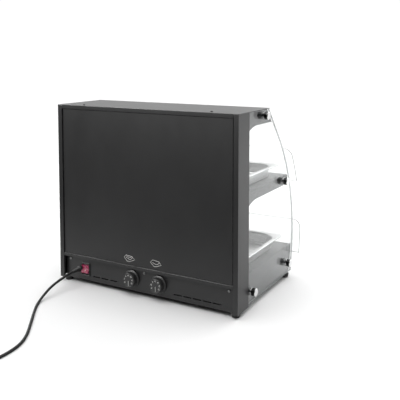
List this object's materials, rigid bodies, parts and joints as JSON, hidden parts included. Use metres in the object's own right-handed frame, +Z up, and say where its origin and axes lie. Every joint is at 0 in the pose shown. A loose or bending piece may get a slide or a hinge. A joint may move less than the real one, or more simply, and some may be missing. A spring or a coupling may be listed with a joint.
{
  "type": "hot food display case",
  "caption": "Counter-top heated food display with stacked tray decks, clear side panels, low clear front guards, rear thermostat dials and lit rocker switch.",
  "frame": {"origin": "centre of the case's footprint on the counter, at the underside of its feet, without the mains lead", "axes": "+Z up, -Y towards the customer's side (front), +Y towards the operator's side with the controls, +X to the left of an operator looking at the controls"},
  "size_m": [0.607, 0.9095, 0.5145],
  "materials": {
    "black_coat": "fine-textured satin black powder coat",
    "clear_sheet": "clear polished sheet with flame-polished edges",
    "polished_steel": "polished",
    "stainless_steel": "fine brushed, slightly clouded",
    "black_rubber": "matt",
    "black_plastic": "moulded, fine grain",
    "red_lens": "translucent lens",
    "brass": "turned",
    "white_ceramic": "unglazed"
  },
  "bodies": {
    "case": {"left_post": "black_coat", "right_post": "black_coat", "left_cheek": "black_coat", "right_cheek": "black_coat", "rear_panel": "black_coat", "top_cover": "black_coat", "canopy_underside": "black_coat", "canopy_fascia": "black_coat", "shelf_deck": "black_coat", "shelf_underside": "black_coat", "shelf_fascia": "black_coat", "base_deck": "black_coat", "base_floor": "black_coat", "base_fascia": "black_coat", "control_strip": "black_coat", "left_side_panel": "clear_sheet", "right_side_panel": "clear_sheet", "upper_front_guard": "clear_sheet", "lower_front_guard": "clear_sheet", "left_top_panel_nut": "polished_steel", "left_middle_panel_nut": "polished_steel", "left_base_front_panel_nut": "polished_steel", "left_base_rear_panel_nut": "polished_steel", "right_top_panel_nut": "polished_steel", "right_middle_panel_nut": "polished_steel", "right_base_front_panel_nut": "polished_steel", "right_base_rear_panel_nut": "polished_steel", "upper_guard_left_bolt": "polished_steel", "upper_guard_right_bolt": "polished_steel", "lower_guard_left_bolt": "polished_steel", "lower_guard_right_bolt": "polished_steel", "left_strip_screw": "polished_steel", "middle_strip_screw": "polished_steel", "right_strip_screw": "polished_steel", "left_rear_foot": "black_rubber", "left_front_foot": "black_rubber", "right_rear_foot": "black_rubber", "right_front_foot": "black_rubber", "mains_lead": "black_rubber", "mains_lead_coil": "black_rubber", "strain_relief": "black_rubber", "shelf_heating_element": "stainless_steel", "base_heating_element": "stainless_steel", "upper_deck_thermostat": "black_plastic", "lower_deck_thermostat": "black_plastic", "switch_housing": "black_plastic", "mains_plug": "black_plastic", "left_cover_screw": "black_coat", "right_cover_screw": "black_coat", "terminal_block": "white_ceramic"},
    "upper_tray": {"upper_tray": "stainless_steel"},
    "lower_tray": {"lower_tray": "stainless_steel"},
    "upper_deck_dial": {"upper_deck_dial": "black_plastic", "upper_deck_shaft": "brass"},
    "lower_deck_dial": {"lower_deck_dial": "black_plastic", "lower_deck_shaft": "brass"},
    "switch_rocker": {"switch_rocker": "red_lens"}
  },
  "joints": [
    {"name": "upper_tray_lift", "type": "slide", "parent": "case", "child": "upper_tray", "axis": [0, 0.4819, 0.8762], "range_m": [0, 0.068]},
    {"name": "lower_tray_lift", "type": "slide", "parent": "case", "child": "lower_tray", "axis": [0, 0, 1], "range_m": [0, 0.07]},
    {"name": "upper_deck_dial_turn", "type": "hinge", "parent": "case", "child": "upper_deck_dial", "pos_m": [0.04, 0.184, 0.0455], "axis": [0, -1, 0], "range_deg": [0, 270]},
    {"name": "lower_deck_dial_turn", "type": "hinge", "parent": "case", "child": "lower_deck_dial", "pos_m": [-0.047, 0.184, 0.0455], "axis": [0, -1, 0], "range_deg": [0, 270]},
    {"name": "switch_rock", "type": "hinge", "parent": "case", "child": "switch_rocker", "pos_m": [0.2015, 0.169, 0.043], "axis": [1, 0, 0], "range_deg": [-20, 0]}
  ]
}
